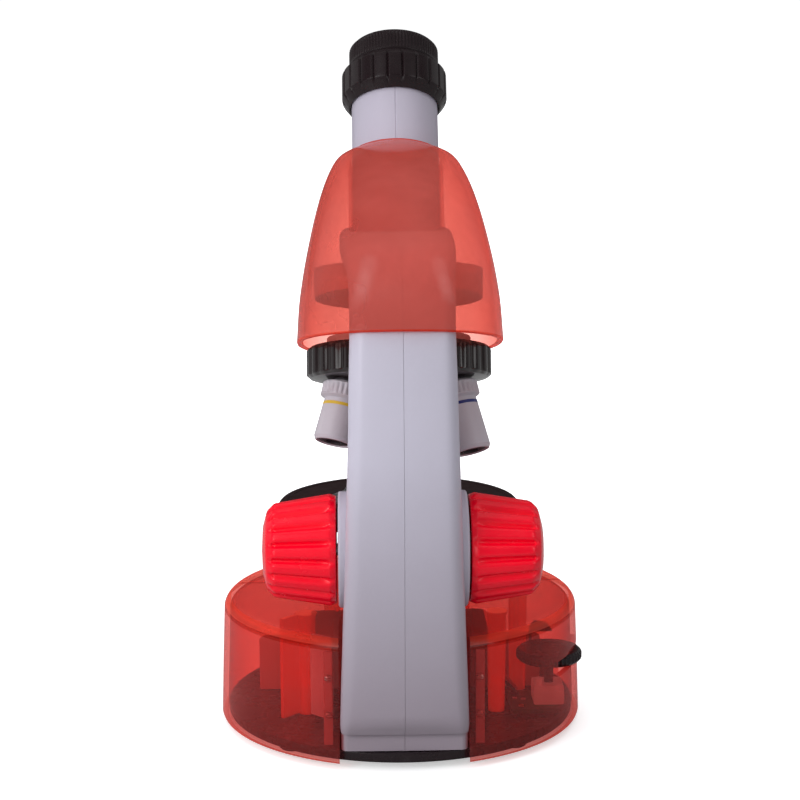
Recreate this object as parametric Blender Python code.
"""A children's compound microscope, modelled piece by piece.

Frame: origin on the table under the middle of the whole outline, +Z up.
The user stands on the +Y side, the arm stands on the -Y side. In object
names "right" is the +X side and "left" the -X side.
Dimensions are in millimetres, laid out from the centre of the round base;
the root empty carries that layout to the origin. Meshes are made in metres.
Objects named cut_* and add_* are hidden helpers for booleans.
"""

import math

import bmesh
import bpy
from mathutils import Vector

for old in list(bpy.data.objects):
    bpy.data.objects.remove(old, do_unlink=True)

MM = 0.001
GAP = 0.3                    # usual clearance between neighbouring pieces
LAYOUT = (0.0, 1.95, 0.0)    # centre of the base in the frame
SIDES = ((-1, "left"), (1, "right"))
SHARP_ANGLE = 38.0
DOUBLES_DIST = 1e-7          # metres
WELD_DIST = 0.00001          # metres

# ---- axes shared by several sections --------------------------------------
AXIS_Y = 9.25                # vertical optical axis
TUBE_Z = 157.0               # the tube axis leaves the optical axis here
TUBE_TILT = 30.0             # lean of the eyepiece tube from vertical
TURRET_Y, TURRET_Z = -9.5, 118.7
TURRET_TILT = 15.0
SHAFT_Y, SHAFT_Z = -42.0, 68.5
WHEEL_X, WHEEL_Y = 50.15, -14.85
STOP_CIRCLE_R = 13.0         # diaphragm stops lie on this circle, which meets the optical axis

# ---- sizes shared by several sections -------------------------------------
PLATE_Z = (2.7, 5.9)
FLOOR_Z = PLATE_Z[1] + GAP   # parts inside the base start here
WHEEL_Z = (22.4, 26.4)
OPTIC_R = 8.0                # light passage through the head and the mount
SHAFT_R = 2.0
SHAFT_BORE_R = SHAFT_R + GAP
BOSS_X = 20.6                # outer face of the bosses round the focus shaft

# base colour, roughness, metallic, transmission
MATERIALS = {
    "grey": ((0.46, 0.44, 0.52), 0.38, 0.0, 0.0),
    "black": ((0.022, 0.016, 0.018), 0.32, 0.0, 0.0),
    "red": ((0.80, 0.01, 0.025), 0.30, 0.0, 0.0),
    "clear_red": ((0.85, 0.09, 0.07), 0.08, 0.0, 0.8),
    "clear_orange": ((0.90, 0.15, 0.10), 0.08, 0.0, 0.8),
    "glass": ((0.9, 0.95, 1.0), 0.02, 0.0, 0.95),
    "steel": ((0.62, 0.62, 0.64), 0.25, 1.0, 0.0),
    "brass": ((0.70, 0.52, 0.22), 0.30, 1.0, 0.0),
    "rubber": ((0.02, 0.02, 0.02), 0.85, 0.0, 0.0),
    "board": ((0.03, 0.20, 0.07), 0.5, 0.0, 0.0),
    "white": ((0.80, 0.78, 0.76), 0.45, 0.0, 0.0),
    "cell": ((0.10, 0.18, 0.30), 0.35, 0.4, 0.0),
}


# ---- objects --------------------------------------------------------------
def place(name, data, loc, rot, parent):
    """Links one object; loc is in millimetres, rot in degrees."""
    placed = bpy.data.objects.new(name, data)
    bpy.context.scene.collection.objects.link(placed)
    placed.location = [c * MM for c in loc]
    placed.rotation_euler = [math.radians(angle) for angle in rot]
    placed.parent = parent
    return placed


ROOT = place("layout_root", None, LAYOUT, (0, 0, 0), None)


def axis_empty(name, loc, rot=(0, 0, 0), parent=ROOT):
    return place(name, None, loc, rot, parent)


TURRET_AXIS = axis_empty("turret_axis", (0, TURRET_Y, TURRET_Z), (-TURRET_TILT, 0, 0))
TUBE_AXIS = axis_empty("tube_axis", (0, AXIS_Y, TUBE_Z), (-TUBE_TILT, 0, 0))
FOCUS_AXIS = axis_empty("focus_axis", (0, SHAFT_Y, SHAFT_Z), (0, 90, 0))
WHEEL_AXIS = axis_empty("wheel_axis", (WHEEL_X, WHEEL_Y, 0))
STAGE_LIFT = axis_empty("stage_lift", (0, AXIS_Y, 0))
DIAPHRAGM_AXIS = axis_empty("diaphragm_axis", (0, STOP_CIRCLE_R, 0), parent=STAGE_LIFT)


def material(name, finish):
    colour, roughness, metallic, transmission = MATERIALS[finish]
    made = bpy.data.materials.new(name)
    made.use_nodes = True
    inputs = made.node_tree.nodes["Principled BSDF"].inputs
    inputs["Base Color"].default_value = (*colour, 1.0)
    inputs["Roughness"].default_value = roughness
    inputs["Metallic"].default_value = metallic
    inputs["Transmission Weight"].default_value = transmission
    return made


def build(name, shape, mat=None, loc=(0, 0, 0), rot=(0, 0, 0), parent=ROOT):
    """One object from (vertices, faces); mat None makes a hidden helper."""
    verts, faces = shape
    mesh = bpy.data.meshes.new(name)
    mesh.from_pydata([tuple(c * MM for c in vert) for vert in verts], [], faces)
    bm = bmesh.new()
    bm.from_mesh(mesh)
    bmesh.ops.remove_doubles(bm, verts=bm.verts, dist=DOUBLES_DIST)
    for loose in [vert for vert in bm.verts if not vert.link_faces]:
        bm.verts.remove(loose)
    bmesh.ops.recalc_face_normals(bm, faces=bm.faces)
    if bm.calc_volume(signed=True) < 0:
        bmesh.ops.reverse_faces(bm, faces=bm.faces)
    bm.to_mesh(mesh)
    bm.free()
    mesh.shade_smooth()
    mesh.set_sharp_from_angle(angle=math.radians(SHARP_ANGLE))
    made = place(name, mesh, loc, rot, parent)
    if mat is None:
        made.hide_render = True
        made.display_type = "WIRE"
    else:
        mesh.materials.append(material(name, mat))
    return made


def boolean(target, name, shape, operation, placing):
    """Builds a helper and applies it to the target, followed by a weld."""
    tool = build(name, shape, **placing)
    modifier = target.modifiers.new(name, "BOOLEAN")
    modifier.operation = operation
    modifier.solver = "EXACT"
    modifier.object = tool
    weld = target.modifiers.new("weld_" + name, "WELD")
    weld.merge_threshold = WELD_DIST
    return tool


def cut(target, name, shape, **placing):
    return boolean(target, name, shape, "DIFFERENCE", placing)


def join(target, name, shape, **placing):
    return boolean(target, name, shape, "UNION", placing)


# ---- shapes: each returns (vertices, faces) -------------------------------
def lathe(profile, segments, flute_from=math.inf, flute_depth=0.0, flute_above=-math.inf):
    """Turns a closed profile of (radius, z) points about Z.

    A point with radius 0 is on the axis. Points beyond the radius flute_from and
    above the height flute_above are set in by flute_depth on every second segment.
    """
    verts, rings = [], []
    for radius, z in profile:
        if radius <= 1e-9:
            rings.append([len(verts)])
            verts.append((0.0, 0.0, z))
            continue
        fluted = radius > flute_from and z > flute_above
        ring = []
        for k in range(segments):
            angle = 2 * math.pi * k / segments
            reach = radius - flute_depth if fluted and k % 2 else radius
            ring.append(len(verts))
            verts.append((reach * math.cos(angle), reach * math.sin(angle), z))
        rings.append(ring)
    faces = []
    for i, one in enumerate(rings):
        two = rings[(i + 1) % len(rings)]
        if len(one) == 1 and len(two) == 1:
            continue
        if min(len(one), len(two)) == 1 and abs(verts[one[0]][2] - verts[two[0]][2]) < 1e-6:
            faces.append(tuple(max(one, two, key=len)))  # a flat end is one face
            continue
        for k in range(segments):
            n = (k + 1) % segments
            if len(one) == 1:
                faces.append((one[0], two[k], two[n]))
            elif len(two) == 1:
                faces.append((one[k], one[n], two[0]))
            else:
                faces.append((one[k], one[n], two[n], two[k]))
    return verts, faces


def loft(rings, loop=False):
    """Skins rings of equal length; capped at both ends, or joined last to first."""
    count = len(rings[0])
    verts = [point for ring in rings for point in ring]
    faces = []
    for i in range(len(rings) if loop else len(rings) - 1):
        low, high = i * count, ((i + 1) % len(rings)) * count
        for k in range(count):
            n = (k + 1) % count
            faces.append((low + k, low + n, high + n, high + k))
    if not loop:
        faces.append(tuple(range(count))[::-1])
        faces.append(tuple((len(rings) - 1) * count + k for k in range(count)))
    return verts, faces


def prism(outline, axis, span):
    """Extrudes an outline over a span of X or Z: (y, z) points for X, (x, y) for Z."""
    if axis == "X":
        return loft([[(x, y, z) for y, z in outline] for x in span])
    return loft([[(x, y, z) for x, y in outline] for z in span])


def box(x_span, y_span, z_span):
    (x0, x1), (y0, y1) = x_span, y_span
    return prism([(x0, y0), (x1, y0), (x1, y1), (x0, y1)], "Z", z_span)


def rod(radius, z_span, segments):
    low, high = z_span
    return lathe([(0, low), (radius, low), (radius, high), (0, high)], segments)


def sweep(path, radius, sides):
    """A round wire along a polyline of 3-D points."""
    points = [Vector(point) for point in path]
    rings = []
    side = None
    for i, point in enumerate(points):
        ahead = points[min(i + 1, len(points) - 1)] - points[max(i - 1, 0)]
        ahead.normalize()
        if side is None:
            side = ahead.orthogonal().normalized()
        side = (side - ahead * side.dot(ahead)).normalized()
        up = ahead.cross(side)
        angles = [2 * math.pi * k / sides for k in range(sides)]
        rings.append([
            tuple(point + (side * math.cos(angle) + up * math.sin(angle)) * radius)
            for angle in angles
        ])
    return loft(rings)


# ---- outlines -------------------------------------------------------------
def polar(centre, radius, degrees):
    angle = math.radians(degrees)
    return centre[0] + radius * math.cos(angle), centre[1] + radius * math.sin(angle)


def arc(centre, radius, start, end, steps):
    return [polar(centre, radius, start + (end - start) * i / steps) for i in range(steps + 1)]


def circle(radius, segments, centre=(0.0, 0.0)):
    return [polar(centre, radius, 360 * k / segments) for k in range(segments)]


def raised(profile, rise):
    return [(radius, z + rise) for radius, z in profile]


def from_axis(outline):
    """Moves (y, z) points of the layout into the frame of the stage lift."""
    return [(y - AXIS_Y, z) for y, z in outline]


# =========================================================================
# Base
# =========================================================================
RIM_Z = 2.0                  # lower rim of the drum above the table
BASE_R = 61.75               # drum radius at the lower rim
BASE_R_TOP = 60.3            # drum radius where the top edge rounding starts
BASE_TOP = 43.0
BASE_FILLET = 4.0
BASE_WALL = 2.0
BASE_SEGMENTS = 56
PLATE_R = 59.2
ARM_SLOT_X = 20.8            # half width of the opening that takes the arm
ARM_SLOT_Y = -28.5
CLEAR_TOP = 50.0             # cuts through the top of the drum end here
POST_R = 2.9
POST_TOP = 46.0              # posts and rib run up into the top of the drum
POST_BORE_R = 1.6
POSTS = [(-32.0, -19.5), (32.0, -19.5), (41.0, 3.0), (-24.0, 47.0), (24.0, 47.0)]
SCREWED = [0, 1, 3, 4]       # posts that take a screw
LAMP_HOLE_R = 9.4
WHEEL_SLOT_LOC = (56.2, -17.2, 0)
WHEEL_SLOT_TURN = -17.0
WHEEL_SLOT_MARGIN = 0.5
GROOVE_Y = (12.5, 13.3)      # line across the top of the drum
GROOVE_DEPTH = 0.5
FOOT_POS = 36.4
FOOT_R = 4.5
DOOR_HOLE_X = 30.0
DOOR_HOLE_Y = (5.7, 38.3)
DOOR_Z = (PLATE_Z[0], 4.7)
DOOR_SCREW_LOC = (0, 34.6, 0)


def top_edge(radius, steps):
    """The rounded top edge of the drum, from the top outwards."""
    centre = (BASE_R_TOP - BASE_FILLET, BASE_TOP - BASE_FILLET)
    return arc(centre, radius, 90, 0, steps)


def make_base_hollow(shell):
    """Hollows the drum, leaving walls round the arm, the posts and a short rib."""
    inner_r = BASE_R - BASE_WALL
    inner = [(0, BASE_TOP - BASE_WALL)] + top_edge(BASE_FILLET - BASE_WALL, 2)
    inner += [(inner_r, RIM_Z), (inner_r, 0), (0, 0)]
    hollow = cut(shell, "cut_base_hollow", lathe(inner, BASE_SEGMENTS))
    cheek_x = ARM_SLOT_X + BASE_WALL
    cheeks = box((-cheek_x, cheek_x), (-70, ARM_SLOT_Y + BASE_WALL), (FLOOR_Z, CLEAR_TOP))
    cut(hollow, "cut_cheeks", cheeks)
    for i, (x, y) in enumerate(POSTS):
        cut(hollow, f"cut_post_{i}", rod(POST_R, (FLOOR_Z, POST_TOP), 10), loc=(x, y, 0))
    rib = box((-5.6, 5.0), (-0.7, 0.7), (FLOOR_Z, POST_TOP))
    cut(hollow, "cut_rib", rib, loc=(-36.2, -22.6, 0), rot=(0, 0, 47))


def make_base_shell():
    outer = [(0, BASE_TOP)] + top_edge(BASE_FILLET, 3) + [(BASE_R, RIM_Z), (0, RIM_Z)]
    shell = build("base_shell", lathe(outer, BASE_SEGMENTS), mat="clear_red")
    make_base_hollow(shell)
    arm_slot = box((-ARM_SLOT_X, ARM_SLOT_X), (-75, ARM_SLOT_Y), (-2, CLEAR_TOP))
    cut(shell, "cut_slot", arm_slot)
    for i in SCREWED:
        cut(shell, f"cut_bore_{i}", rod(POST_BORE_R, (3, 18), 8), loc=(*POSTS[i], 0))
    cut(shell, "cut_lamp", rod(LAMP_HOLE_R, (38, CLEAR_TOP), 24), loc=(0, AXIS_Y, 0))
    slot_z = (WHEEL_Z[0] - WHEEL_SLOT_MARGIN, WHEEL_Z[1] + WHEEL_SLOT_MARGIN)
    cut(shell, "cut_wheel_slot", box((-6, 8), (-16, 16), slot_z),
        loc=WHEEL_SLOT_LOC, rot=(0, 0, WHEEL_SLOT_TURN))
    cut(shell, "cut_top_line", box((-70, 70), GROOVE_Y, (BASE_TOP - GROOVE_DEPTH, CLEAR_TOP)))


def make_base_plate():
    plate = build("base_plate", rod(PLATE_R, PLATE_Z, BASE_SEGMENTS), mat="black")
    cut(plate, "cut_door", box((-DOOR_HOLE_X, DOOR_HOLE_X), DOOR_HOLE_Y, (0, 9)))
    recess = [(0, 0), (3.3, 0), (3.3, 4.3), (1.6, 4.3), (1.6, 8), (0, 8)]
    screw = [(0, 2.9), (3.0, 2.9), (3.0, 4.0), (1.3, 4.0), (1.3, 16.5), (0, 16.5)]
    for number, i in enumerate(SCREWED, start=1):
        loc = (*POSTS[i], 0)
        cut(plate, f"cut_head_{i}", lathe(recess, 10), loc=loc)
        build(f"base_screw_{number}", lathe(screw, 10), mat="steel", loc=loc)


def make_feet():
    foot = [(0, 0), (3.9, 0), (FOOT_R, 0.6), (FOOT_R, 2.4), (0, 2.4)]
    corners = ((-1, -1), (1, -1), (-1, 1), (1, 1))
    for number, (x_side, y_side) in enumerate(corners, start=1):
        build(f"rubber_foot_{number}", lathe(foot, 16), mat="rubber",
              loc=(x_side * FOOT_POS, y_side * FOOT_POS, 0))


def make_battery_door():
    half_x = DOOR_HOLE_X - GAP
    y_span = (DOOR_HOLE_Y[0] + GAP, DOOR_HOLE_Y[1] - GAP)
    door = build("battery_door", box((-half_x, half_x), y_span, DOOR_Z), mat="black")
    cut(door, "cut_door_screw", rod(1.5, (0, 9), 10), loc=DOOR_SCREW_LOC)
    cut(door, "cut_door_head", rod(2.7, (0, 3.6), 12), loc=DOOR_SCREW_LOC)
    screw = [(0, 2.8), (2.4, 2.8), (2.4, 3.3), (1.2, 3.3), (1.2, 6.6), (0, 6.6)]
    build("door_screw", lathe(screw, 12), mat="steel", loc=DOOR_SCREW_LOC)


# =========================================================================
# Batteries
# =========================================================================
BOX_HALF_X, BOX_Y, BOX_TOP = 31.5, (4.5, 39.5), 24.5
BOX_INNER_HALF_X, BOX_INNER_Y, BOX_INNER_TOP = 29.6, (6.2, 37.6), 22.5
CELL_Y = (14.3, 29.7)
CELL_Z = 12.8
CELL_SHIFT = 1.8             # each cell stands off its spring by this shift
COIL_STEPS = 21
COIL_STEPS_PER_TURN = 8
COIL_X, COIL_LENGTH = 28.6, 5.0
COIL_R, COIL_TAPER = 4.6, 1.6


def make_battery_box():
    case = box((-BOX_HALF_X, BOX_HALF_X), BOX_Y, (FLOOR_Z, BOX_TOP))
    battery_box = build("battery_box", case, mat="black")
    inside = box((-BOX_INNER_HALF_X, BOX_INNER_HALF_X), BOX_INNER_Y, (5, BOX_INNER_TOP))
    cut(battery_box, "cut_box", inside)


def make_batteries():
    """Two opposed cells, each with a tapering spring at its flat end."""
    cell = [(0, -24.5), (4.5, -24.5), (6.9, -24.0), (6.9, 23.6), (6.4, 24.2),
            (2.7, 24.2), (2.7, 25.6), (0, 25.6)]
    for number, side, y in ((1, -1, CELL_Y[0]), (2, 1, CELL_Y[1])):
        build(f"battery_{number}", lathe(cell, 16), mat="cell",
              loc=(-side * CELL_SHIFT, y, CELL_Z), rot=(0, -side * 90, 0))
        coil = []
        for k in range(COIL_STEPS + 1):
            angle = 2 * math.pi * k / COIL_STEPS_PER_TURN
            radius = COIL_R - COIL_TAPER * k / COIL_STEPS
            x = side * (COIL_X - COIL_LENGTH * k / COIL_STEPS)
            coil.append((x, y + radius * math.cos(angle), CELL_Z + radius * math.sin(angle)))
        build(f"battery_spring_{number}", sweep(coil, 0.45, 5), mat="steel")


# =========================================================================
# Lamp and light controls
# =========================================================================
WHEEL_R = 11.6
WHEEL_CHAMFER = 1.0
BOARD_Z = (FLOOR_Z, 7.8)
WIRE_R = 0.6
# points (x, y, z) along each wire
BATTERY_WIRE = [
    (31.9, 12.0, 18.0), (33.8, 11.6, 19.0), (36.0, 9.4, 18.6), (36.4, 5.0, 15.5),
    (36.6, 0.5, 12.0), (38.2, -2.8, 10.4), (39.6, -4.4, 9.2), (40.0, -4.8, 8.2),
]
LAMP_WIRE = [
    (39.4, -11.0, 8.2), (38.6, -10.8, 10.2), (34.0, -8.6, 14.0), (26.0, -4.0, 19.0),
    (16.0, 2.0, 24.0), (8.0, 6.4, 26.8), (4.6, 8.4, 28.0), (4.4, 8.6, 28.7),
]


def make_lamp():
    loc = (0, AXIS_Y, 0)
    housing = [(7.6, 28.0), (9.0, 28.0), (9.0, 43.3), (11.2, 43.3), (11.2, 44.0),
               (10.6, 44.6), (8.4, 44.6), (8.4, 41.0), (7.6, 41.0)]
    build("lamp_housing", lathe(housing, 24), mat="black", loc=loc)
    lens = [(0, 41.4), (8.0, 41.4), (8.0, 42.6), (6.4, 43.7), (4.2, 44.5), (2.0, 44.9),
            (0, 45.0)]
    build("lamp_lens", lathe(lens, 20), mat="glass", loc=loc)
    build("lamp_board", rod(7.2, (29.0, 30.6), 20), mat="board", loc=loc)
    led = [(0, 30.9), (2.9, 30.9), (2.9, 32.0), (2.5, 32.0), (2.5, 35.2), (1.8, 36.8),
           (0, 37.6)]
    build("lamp_led", lathe(led, 12), mat="glass", loc=loc)


def make_dimmer():
    build("circuit_board", box((36.6, 53.0), (-24.0, -4.0), BOARD_Z), mat="board")
    body = box((44.6, 54.9), (-20.6, -10.6), (BOARD_Z[1] + GAP, 14.6))
    dimmer = build("dimmer_body", body, mat="white")
    cut(dimmer, "cut_dimmer", rod(2.0, (10, 20), 14), loc=(WHEEL_X, WHEEL_Y, 0))


def make_thumbwheel():
    low, high = WHEEL_Z
    face_r = WHEEL_R - WHEEL_CHAMFER
    wheel = [(0, 10.6), (1.6, 10.6), (1.6, low - 1.6), (3.4, low - 1.6), (3.4, low),
             (face_r, low), (WHEEL_R, low + WHEEL_CHAMFER),
             (WHEEL_R, high - WHEEL_CHAMFER), (face_r, high), (0, high)]
    shape = lathe(wheel, 32, flute_from=WHEEL_R - 1.2, flute_depth=0.45)
    build("light_thumbwheel", shape, mat="black", parent=WHEEL_AXIS)


def make_wires():
    build("battery_wire", sweep(BATTERY_WIRE, WIRE_R, 5), mat="red")
    build("lamp_wire", sweep(LAMP_WIRE, WIRE_R, 5), mat="black")


# =========================================================================
# Arm: two mirrored shells either side of the plane x = 0
# =========================================================================
ARM_WALL = 2.0
HEAD_FRONT_WALL = 2.4
SEAM = 0.15                  # each shell starts this far from x = 0
TUBE_R = 15.0
TUBE_BORE = 13.0
TUBE_END = 66.5
TUBE_START_Z = 158.0         # level lower ends of the tube and its bore, inside the head
BORE_START_Z = 160.0
BORE_OVERRUN = 4.0
BOSS_R = 18.6
BUSH_HOLE_R = 4.8
# rear (y, z), front (y, z), half width, corner radius: from the foot to the head
ARM = [
    ((-57.2, 6.2), (-31.0, 6.2), 20.2, 2.2),
    ((-57.2, 11.8), (-31.0, 11.8), 20.2, 2.2),
    ((-59.2, 12.3), (-31.2, 12.3), 20.3, 2.6),
    ((-60.5, 14.5), (-31.4, 14.5), 20.5, 3.2),
    ((-61.4, 22.0), (-31.8, 22.0), 20.3, 4.0),
    ((-63.2, 40.0), (-32.6, 40.0), 19.6, 4.5),
    ((-65.0, 60.0), (-33.0, 60.0), 18.8, 4.5),
    ((-66.2, 80.0), (-33.0, 80.0), 18.1, 4.5),
    ((-66.3, 88.5), (-33.0, 87.5), 17.8, 4.5),
    ((-66.2, 95.0), (-45.0, 92.5), 17.6, 4.5),
    ((-65.9, 101.0), (-50.8, 98.5), 17.4, 4.5),
    ((-65.0, 111.0), (-51.5, 110.0), 17.1, 4.5),
    ((-63.0, 125.0), (-50.5, 125.0), 16.8, 4.5),
    ((-61.2, 135.0), (-46.5, 136.0), 16.5, 4.5),
    ((-59.3, 143.0), (-43.0, 142.0), 16.4, 4.5),
    ((-57.2, 150.0), (-41.5, 150.0), 16.5, 4.2),
    ((-51.5, 159.5), (-40.5, 154.5), 16.8, 3.6),
    ((-45.0, 163.8), (-39.0, 155.3), 17.1, 3.2),
    ((-36.0, 165.5), (-35.0, 155.3), 17.5, 3.0),
    ((-10.0, 165.5), (-10.0, 155.3), 18.6, 3.0),
    ((15.0, 165.5), (15.0, 155.3), 19.4, 3.0),
    ((29.0, 165.3), (29.0, 155.5), 19.7, 3.0),
    ((32.0, 163.8), (32.0, 157.0), 18.8, 2.8),
]


def half_section(rear, front, half_width, corner, seam_x, steps):
    """Half of a rounded rectangle, from the rear seam round to the front seam."""
    rear, front = Vector(rear), Vector(front)
    depth = (front - rear).length
    along = (front - rear) / depth
    corner = min(corner, depth / 2 - 0.05)
    flat = [(seam_x, 0.0)] + arc((half_width - corner, corner), corner, -90, 0, steps)
    flat += arc((half_width - corner, depth - corner), corner, 0, 90, steps)
    flat += [(seam_x, depth)]
    return [(x, rear.x + along.x * run, rear.y + along.y * run) for x, run in flat]


def arm_hollow():
    rings = []
    for i, (rear, front, half_width, corner) in enumerate(ARM):
        rear, front = Vector(rear), Vector(front)
        wall = (front - rear).normalized() * ARM_WALL
        if i == 0:  # opens the foot
            rear.y -= 2.0
            front.y -= 2.0
        if i == 2:  # keeps the wall behind the step above the foot
            rear.x += 2.0
        if i >= len(ARM) - 2:  # leaves the front wall of the head
            rear.x -= HEAD_FRONT_WALL
            front.x -= HEAD_FRONT_WALL
        rings.append(half_section(rear + wall, front - wall, half_width - ARM_WALL,
                                  max(corner - 1.6, 0.8), -3, 1))
    return loft(rings)


def tube_ring(outline, level_z=None, overrun=0.0):
    """An outline across the tube axis, at the tube's end or cut on a level plane."""
    sine, cosine = math.sin(math.radians(TUBE_TILT)), math.cos(math.radians(TUBE_TILT))
    ring = []
    for x, across in outline:
        height = TUBE_END
        if level_z is not None:
            height = (level_z - TUBE_Z + sine * across) / cosine
        height += overrun
        ring.append((x, AXIS_Y + sine * height + cosine * across,
                     TUBE_Z + cosine * height - sine * across))
    return ring


def half_tube():
    half = arc((0, 0), TUBE_R, -89.2, 89.2, 14)
    half = [(SEAM, half[0][1])] + half[1:-1] + [(SEAM, half[-1][1])]
    return loft([tube_ring(half, level_z=TUBE_START_Z), tube_ring(half)])


def tube_bore():
    bore = circle(TUBE_BORE, 28)
    return loft([tube_ring(bore, level_z=BORE_START_Z), tube_ring(bore, overrun=BORE_OVERRUN)])


def make_arm_shell(side, side_name):
    def mirrored(shape):
        verts, faces = shape
        return [(side * x, y, z) for x, y, z in verts], faces

    tag = side_name[0]
    shaft = (SHAFT_Y, SHAFT_Z)
    outside = [half_section(*station, SEAM, 2) for station in ARM]
    shell = build(f"arm_{side_name}_shell", mirrored(loft(outside)), mat="grey")
    join(shell, f"add_tube_{tag}", mirrored(half_tube()))
    boss = prism(circle(BOSS_R, 36, shaft), "X", (16.9, BOSS_X))
    join(shell, f"add_boss_{tag}", mirrored(boss))
    cut(shell, f"cut_arm_{tag}", mirrored(arm_hollow()))
    cut(shell, f"cut_bore_{tag}", mirrored(tube_bore()))
    optic = prism(circle(OPTIC_R, 24, (0, AXIS_Y)), "Z", (150, 159))
    cut(shell, f"cut_optic_{tag}", mirrored(optic))
    bush = prism(circle(BUSH_HOLE_R, 16, shaft), "X", (12, 24))
    cut(shell, f"cut_bush_{tag}", mirrored(bush))
    rack_slot = box((-5, 5.2), (-40, -28), (45, 91.8))
    cut(shell, f"cut_rack_{tag}", mirrored(rack_slot))


# =========================================================================
# Hood over the head
# =========================================================================
HOOD_WALL = 2.0
HOOD_SEGMENTS = 32
# rear (y, z), front (y, z), half width: from the lower edge to the tube
HOOD = [
    ((-63.5, 142.4), (28.0, 121.0), 33.6),
    ((-63.2, 152.5), (34.0, 132.0), 32.9),
    ((-60.0, 163.0), (39.0, 142.5), 31.4),
    ((-52.5, 172.5), (43.0, 152.5), 29.5),
    ((-42.0, 180.5), (46.0, 161.5), 27.5),
    ((-29.5, 186.7), (48.0, 169.0), 25.5),
    ((-15.5, 191.6), (48.8, 175.0), 23.3),
    ((-3.0, 194.8), (48.0, 178.6), 21.2),
    ((6.5, 196.3), (45.6, 180.2), 19.1),
    ((12.27, 196.85), (42.23, 179.53), 17.3),
]


def hood_ring(rear, front, half_width, inset):
    """A superellipse, squarer at the rear; a plain circle where it meets the tube."""
    rear, front = Vector(rear), Vector(front)
    along = (front - rear).normalized()
    rear, front = rear + along * inset, front - along * inset
    half_width -= inset
    middle, half_depth = (rear + front) / 2, (front - rear).length / 2
    is_circle = abs(half_depth - half_width) < 0.6
    ring = []
    for k in range(HOOD_SEGMENTS):
        angle = 2 * math.pi * k / HOOD_SEGMENTS
        cosine, sine = math.cos(angle), math.sin(angle)
        power = 2.0 if is_circle else (2.5 if sine < 0 else 2.3)
        x = math.copysign(abs(cosine) ** (2 / power), cosine) * half_width
        run = math.copysign(abs(sine) ** (2 / power), sine) * half_depth
        ring.append((x, middle.x + along.x * run, middle.y + along.y * run))
    return ring


def make_hood():
    outside = [hood_ring(*station, 0.0) for station in HOOD]
    inside = [hood_ring(*station, HOOD_WALL) for station in HOOD]
    build("head_cover", loft(outside + inside[::-1], loop=True), mat="clear_orange")


# =========================================================================
# Nosepiece mount, turret, objectives and head prism
# =========================================================================
MOUNT_R = 28.0
MOUNT_Y = -7.0
MOUNT_TOP = 155.0
MOUNT_LOW = 145.0            # lower face at the middle of the mount
PIVOT_BORE_R = 3.2
TURRET_R = 30.8
TURRET_H = 10.2
HUB_R = 8.0
FLUTES = 32
PITCH_R = 20.2               # radius of the objective seats
SPLAY = 15.0                 # lean of an objective from the turret axis
SEAT_R = 4.3
# length, bearing round the turret
OBJECTIVES = {"4x": (15.8, 0.0), "10x": (20.2, 120.0), "40x": (23.7, -120.0)}
UNDERSIDE_SLOPE = math.tan(math.radians(SPLAY))


def make_mount():
    slope = math.tan(math.radians(TURRET_TILT))
    outline = circle(MOUNT_R, 28, (0, MOUNT_Y))
    top_ring = [(x, y, MOUNT_TOP) for x, y in outline]
    low_ring = [(x, y, MOUNT_LOW - slope * (y - MOUNT_Y)) for x, y in outline]
    mount = build("nosepiece_mount", loft([low_ring, top_ring]), mat="black")
    neck = [(0, 10.6), (24.0, 10.6), (24.0, 13.4), (12.0, 13.4), (12.0, 31.0), (0, 31.0)]
    join(mount, "add_neck", lathe(neck, 24), parent=TURRET_AXIS)
    cut(mount, "cut_optic", rod(OPTIC_R, (100, 170), 20), loc=(0, AXIS_Y, 0))
    cut(mount, "cut_pivot", rod(PIVOT_BORE_R, (5, 22), 16), parent=TURRET_AXIS)
    pivot = [(0, -9.0), (5.2, -9.0), (6.4, -8.2), (6.4, -6.5), (2.9, -6.5), (2.9, 21.0),
             (0, 21.0)]
    build("turret_pivot", lathe(pivot, 16), mat="steel", parent=TURRET_AXIS)


def make_turret():
    hub_z = -(TURRET_R - HUB_R) * UNDERSIDE_SLOPE
    turret = [(PIVOT_BORE_R, TURRET_H), (29.8, TURRET_H), (TURRET_R, TURRET_H - 0.8),
              (TURRET_R, 0.6), (TURRET_R - 1.0, -0.2), (HUB_R, hub_z), (PIVOT_BORE_R, hub_z)]
    shape = lathe(turret, FLUTES * 2, flute_from=TURRET_R - 0.6, flute_depth=0.7)
    nosepiece = build("nosepiece", shape, mat="black", parent=TURRET_AXIS)
    for tag, (length, bearing) in OBJECTIVES.items():
        make_objective(nosepiece, tag, length, bearing)


def make_objective(nosepiece, tag, length, bearing):
    angle = math.radians(bearing)
    placing = {
        "loc": (-PITCH_R * math.sin(angle), PITCH_R * math.cos(angle),
                -(TURRET_R - PITCH_R) * UNDERSIDE_SLOPE),
        "rot": (SPLAY, 0, bearing),
        "parent": TURRET_AXIS,
    }
    cut(nosepiece, f"cut_seat_{tag}", rod(SEAT_R, (-12, 30), 16), **placing)
    tip = -length
    body = [(2.9, 5.0), (4.0, 5.0), (4.0, -0.6), (6.9, -0.6), (7.6, -1.2), (7.6, -5.4),
            (6.0, -6.2), (6.7, tip + 1.2), (6.1, tip), (5.4, tip), (5.0, tip + 0.9),
            (2.9, tip + 0.9)]
    shape = lathe(body, 24, flute_from=7.5, flute_depth=0.35)
    build(f"objective_{tag}", shape, mat="grey", **placing)
    lens = [(0, 1.6), (1.4, 1.4), (2.3, 1.2), (2.3, 3.2), (0, 3.2)]
    build(f"objective_lens_{tag}", lathe(raised(lens, tip), 10), mat="glass", **placing)


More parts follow.
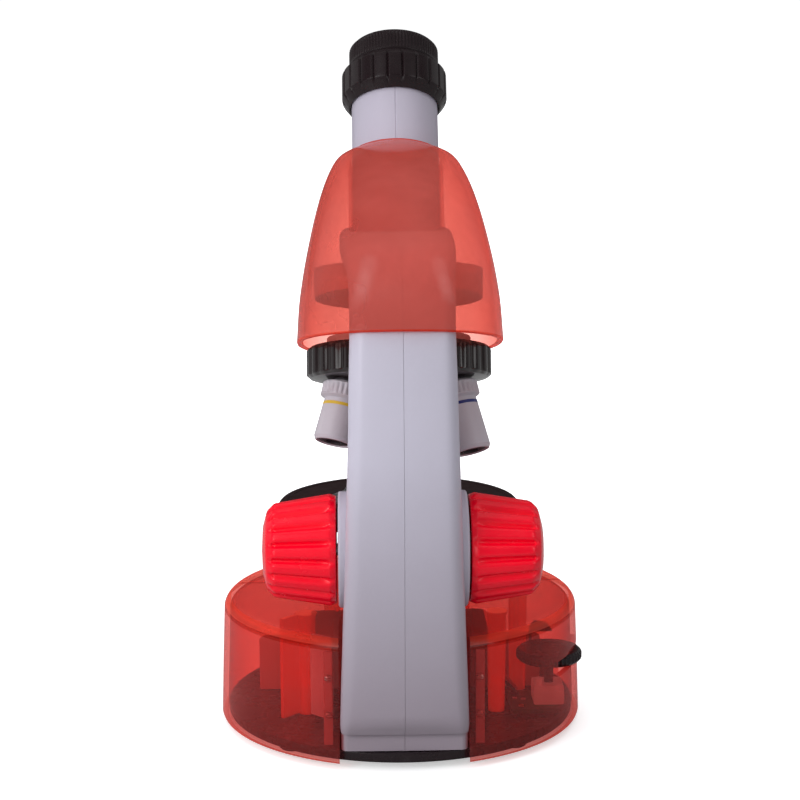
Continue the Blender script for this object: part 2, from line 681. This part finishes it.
def make_head_prism():
    outline = [(2.4, 157.7), (16.2, 157.7), (16.2, 159.6), (9.0, 162.9), (2.4, 162.9)]
    build("head_prism", prism(outline, "X", (-7.5, 7.5)), mat="glass")


# =========================================================================
# Zoom eyepiece, along the tube axis
# =========================================================================
ZOOM_START = 56.9            # where the zoom ring starts, along the tube axis
BARREL_Z = (42.0, ZOOM_START + 15.6)


def make_eyepiece():
    # (radius, z above the start of the zoom ring)
    ring = [(15.4, 0), (16.0, 0), (18.3, 3.2), (18.3, 12.4), (17.7, 13.1), (16.2, 14.8),
            (13.0, 14.8), (13.0, 10.2), (15.4, 10.2)]
    cap = [(8.6, 15.9), (12.9, 15.9), (12.9, 15.1), (15.2, 15.1), (15.7, 15.8),
           (15.7, 22.2), (14.7, 23.3), (13.0, 23.4), (9.6, 20.1), (8.6, 20.1)]
    eye_lens = [(0, 17.2), (8.3, 17.2), (8.3, 18.4), (5.6, 19.2), (2.8, 19.6), (0, 19.8)]
    # (radius, z along the tube axis)
    low, high = BARREL_Z
    barrel = [(10.6, low), (12.6, low), (12.6, high), (10.6, high)]
    field_lens = [(0, 44.0), (10.3, 44.0), (10.3, 45.0), (6.0, 46.3), (0, 47.0)]

    ring_shape = lathe(raised(ring, ZOOM_START), 44, flute_from=17.5, flute_depth=0.6)
    for name, shape, mat in (
        ("zoom_ring", ring_shape, "black"),
        ("eyepiece_barrel", lathe(barrel, 24), "black"),
        ("eyepiece_cap", lathe(raised(cap, ZOOM_START), 32), "black"),
        ("eye_lens", lathe(raised(eye_lens, ZOOM_START), 20), "glass"),
        ("field_lens", lathe(field_lens, 20), "glass"),
    ):
        build(name, shape, mat=mat, parent=TUBE_AXIS)


# =========================================================================
# Stage, its carriage, diaphragm and clips (local y is from the optical axis)
# =========================================================================
STAGE_R = 41.6
STAGE_Y = 11.0
STAGE_LOW, STAGE_TOP = 69.2, 72.2
STAGE_CUT_Z = (60, 80)       # passes right through the stage
STAGE_REAR = -60 - AXIS_Y + AXIS_Y  # local y beyond the rear edge
APERTURE_R = 6.0
PINION_PITCH_R = 4.0
PINION_TEETH = 12
RACK_BACK_Y = -35.6
RACK_Z = (52.4, 79.6)
DISC_R = 19.0
DISC_Z = (66.4, 68.2)
STOP_RADII = (5.2, 4.2, 3.2, 2.4, 1.6, 1.0)
CLIP_X, CLIP_Y = 27.0, -7.0
CLIP_LEAN = 18.0             # the clips lean towards each other in front
CLIP_HOLE_R = 1.5
CLIP_Z = (STAGE_TOP + 0.3, STAGE_TOP + 0.95)
# distance along a clip from its screw, half width
CLIP_STRIP = [(-3.6, 1.6), (-2.4, 3.0), (0.0, 3.6), (2.6, 3.2), (12.0, 2.6), (30.0, 2.2),
              (35.0, 2.6), (36.6, 1.6)]


def make_stage_plate():
    profile = [(0, STAGE_LOW), (STAGE_R - 0.8, STAGE_LOW), (STAGE_R, STAGE_LOW + 0.7),
               (STAGE_R, STAGE_TOP - 0.7), (STAGE_R - 0.7, STAGE_TOP), (0, STAGE_TOP)]
    plate = build("stage_plate", lathe(profile, 48), mat="black",
                  loc=(0, STAGE_Y - AXIS_Y, 0), parent=STAGE_LIFT)
    cut(plate, "cut_aperture", rod(APERTURE_R, STAGE_CUT_Z, 24), parent=STAGE_LIFT)
    for side, _ in SIDES:
        notch_x = sorted((side * 14.2, side * 26.0))
        notch = box(notch_x, (STAGE_REAR, -22.4 - AXIS_Y), STAGE_CUT_Z)
        cut(plate, f"cut_notch_{side}", notch, parent=STAGE_LIFT)
    arm_gap = box((-15, 15), (STAGE_REAR, -29.0 - AXIS_Y), STAGE_CUT_Z)
    cut(plate, "cut_arm_gap", arm_gap, parent=STAGE_LIFT)
    cut(plate, "cut_disc_pin", rod(1.6, (60, 70.4), 12), parent=DIAPHRAGM_AXIS)
    return plate


def make_carrier():
    outline = [(-32.6, 53.5), (-25.0, 53.5), (-22.0, 62.5), (-6.0, 65.8), (-6.0, 68.9),
               (-32.6, 68.9)]
    carrier = build("stage_carrier", prism(from_axis(outline), "X", (-12.5, 12.5)),
                    mat="black", parent=STAGE_LIFT)
    neck = box((-4.6, 4.6), (-35.3 - AXIS_Y, -31.0 - AXIS_Y), (56.0, 68.0))
    join(carrier, "add_carrier_neck", neck, parent=STAGE_LIFT)


def make_rack():
    pitch = 2 * math.pi * PINION_PITCH_R / PINION_TEETH
    pitch_y = SHAFT_Y + PINION_PITCH_R
    root_y, tip_y = pitch_y + 0.7, pitch_y - 0.5
    low, high = RACK_Z
    outline = [(RACK_BACK_Y, low), (RACK_BACK_Y, high), (root_y, high)]
    for k in range(4, -7, -1):
        tooth_z = SHAFT_Z + (k + 0.5) * pitch
        outline += [(root_y, tooth_z + 0.62), (tip_y, tooth_z + 0.22),
                    (tip_y, tooth_z - 0.22), (root_y, tooth_z - 0.62)]
    outline += [(root_y, low)]
    build("stage_rack", prism(from_axis(outline), "X", (-2.8, 2.8)), mat="white",
          parent=STAGE_LIFT)


def make_diaphragm():
    disc = build("diaphragm_disc", rod(DISC_R, DISC_Z, 32), mat="black",
                 parent=DIAPHRAGM_AXIS)
    cut(disc, "cut_disc_axle", rod(1.9, STAGE_CUT_Z, 14), parent=DIAPHRAGM_AXIS)
    for k, radius in enumerate(STOP_RADII):
        x, y = polar((0, 0), STOP_CIRCLE_R, -90 + 60 * k)
        cut(disc, f"cut_stop_{k}", rod(radius, STAGE_CUT_Z, 10), loc=(x, y, 0),
            parent=DIAPHRAGM_AXIS)
    pin = [(0, 64.6), (3.2, 64.6), (3.2, 66.1), (1.6, 66.1), (1.6, 68.6), (1.3, 68.6),
           (1.3, 70.1), (0, 70.1)]
    build("diaphragm_pin", lathe(pin, 12), mat="steel", parent=DIAPHRAGM_AXIS)


def make_clip(stage_plate, side, name):
    pivot = axis_empty(f"clip_{name}_axis", (side * CLIP_X, CLIP_Y - AXIS_Y, 0),
                       parent=STAGE_LIFT)
    lean = math.radians(side * CLIP_LEAN)
    outline = [(half, run) for run, half in CLIP_STRIP]
    outline += [(-half, run) for run, half in reversed(CLIP_STRIP)]
    outline = [(x * math.cos(lean) - y * math.sin(lean), x * math.sin(lean) + y * math.cos(lean))
               for x, y in outline]
    clip = build(f"stage_clip_{name}", prism(outline, "Z", CLIP_Z), mat="steel", parent=pivot)
    cut(clip, f"cut_clip_{name}", rod(CLIP_HOLE_R, (60, 90), 12), parent=pivot)
    # (radius, z above the stage)
    screw = [(0, -1.6), (1.2, -1.6), (1.2, 1.2), (2.8, 1.2), (2.8, 2.0), (2.2, 2.5), (0, 2.5)]
    build(f"clip_screw_{name}", lathe(raised(screw, STAGE_TOP), 12), mat="steel", parent=pivot)
    hole = rod(CLIP_HOLE_R, (STAGE_TOP - 2.0, 90), 12)
    cut(stage_plate, f"cut_clip_hole_{name}", hole, parent=pivot)


# =========================================================================
# Focus drive: shaft, pinion, bushes and knobs (local Z of the axis is +X)
# =========================================================================
SHAFT_HALF = 35.8
PINION_HALF = 3.0
# degrees from the middle of a tooth, radius
PINION_TOOTH = [(-10.5, 3.2), (-3.6, 4.5), (3.6, 4.5), (10.5, 3.2)]
BUSH_R = 4.5
BUSH_Z = (15.6, BOSS_X + 0.2)
KNOB_X = 21.2                # inner end of a knob
KNOB_RIBS = 18


def make_shaft_and_pinion():
    build("focus_shaft", rod(SHAFT_R, (-SHAFT_HALF, SHAFT_HALF), 16), mat="steel",
          parent=FOCUS_AXIS)
    gear = []
    for k in range(PINION_TEETH):
        middle = 360.0 / PINION_TEETH * k
        gear += [polar((0, 0), radius, middle + offset) for offset, radius in PINION_TOOTH]
    # local +Y stays +Y and local -X points up
    gear = [(-up, along_y) for along_y, up in gear]
    pinion = build("focus_pinion", prism(gear, "Z", (-PINION_HALF, PINION_HALF)),
                   mat="brass", parent=FOCUS_AXIS)
    cut(pinion, "cut_pinion", rod(SHAFT_BORE_R, (-9, 9), 12), parent=FOCUS_AXIS)


def make_bush_and_knob(side, name):
    placing = {"rot": (0, 0 if side > 0 else 180, 0), "parent": FOCUS_AXIS}
    low, high = BUSH_Z
    bush = [(SHAFT_BORE_R, low), (BUSH_R, low), (BUSH_R, high), (SHAFT_BORE_R, high)]
    build(f"focus_bush_{name}", lathe(bush, 14), mat="brass", **placing)
    # (radius, distance out from the inner end)
    knob = [(0, 23.9), (8.0, 23.4), (12.6, 22.2), (15.0, 19.9), (17.9, 2.0), (17.1, 0),
            (14.2, 0), (12.4, 14.0), (6.4, 14.0), (5.4, 0.4), (SHAFT_BORE_R, 0.4),
            (SHAFT_BORE_R, 15.0), (0, 15.0)]
    shape = lathe(raised(knob, KNOB_X), KNOB_RIBS * 2,
                  flute_from=13.7, flute_depth=1.1, flute_above=KNOB_X + 0.9)
    build(f"focus_knob_{name}", shape, mat="red", **placing)


make_base_shell()
make_base_plate()
make_feet()
make_battery_door()
make_battery_box()
make_batteries()
make_lamp()
make_dimmer()
make_thumbwheel()
make_wires()
make_hood()
make_mount()
make_turret()
make_head_prism()
make_eyepiece()
stage = make_stage_plate()
make_carrier()
make_rack()
make_diaphragm()
make_shaft_and_pinion()
for side_sign, side_label in SIDES:
    make_arm_shell(side_sign, side_label)
    make_clip(stage, side_sign, side_label)
    make_bush_and_knob(side_sign, side_label)
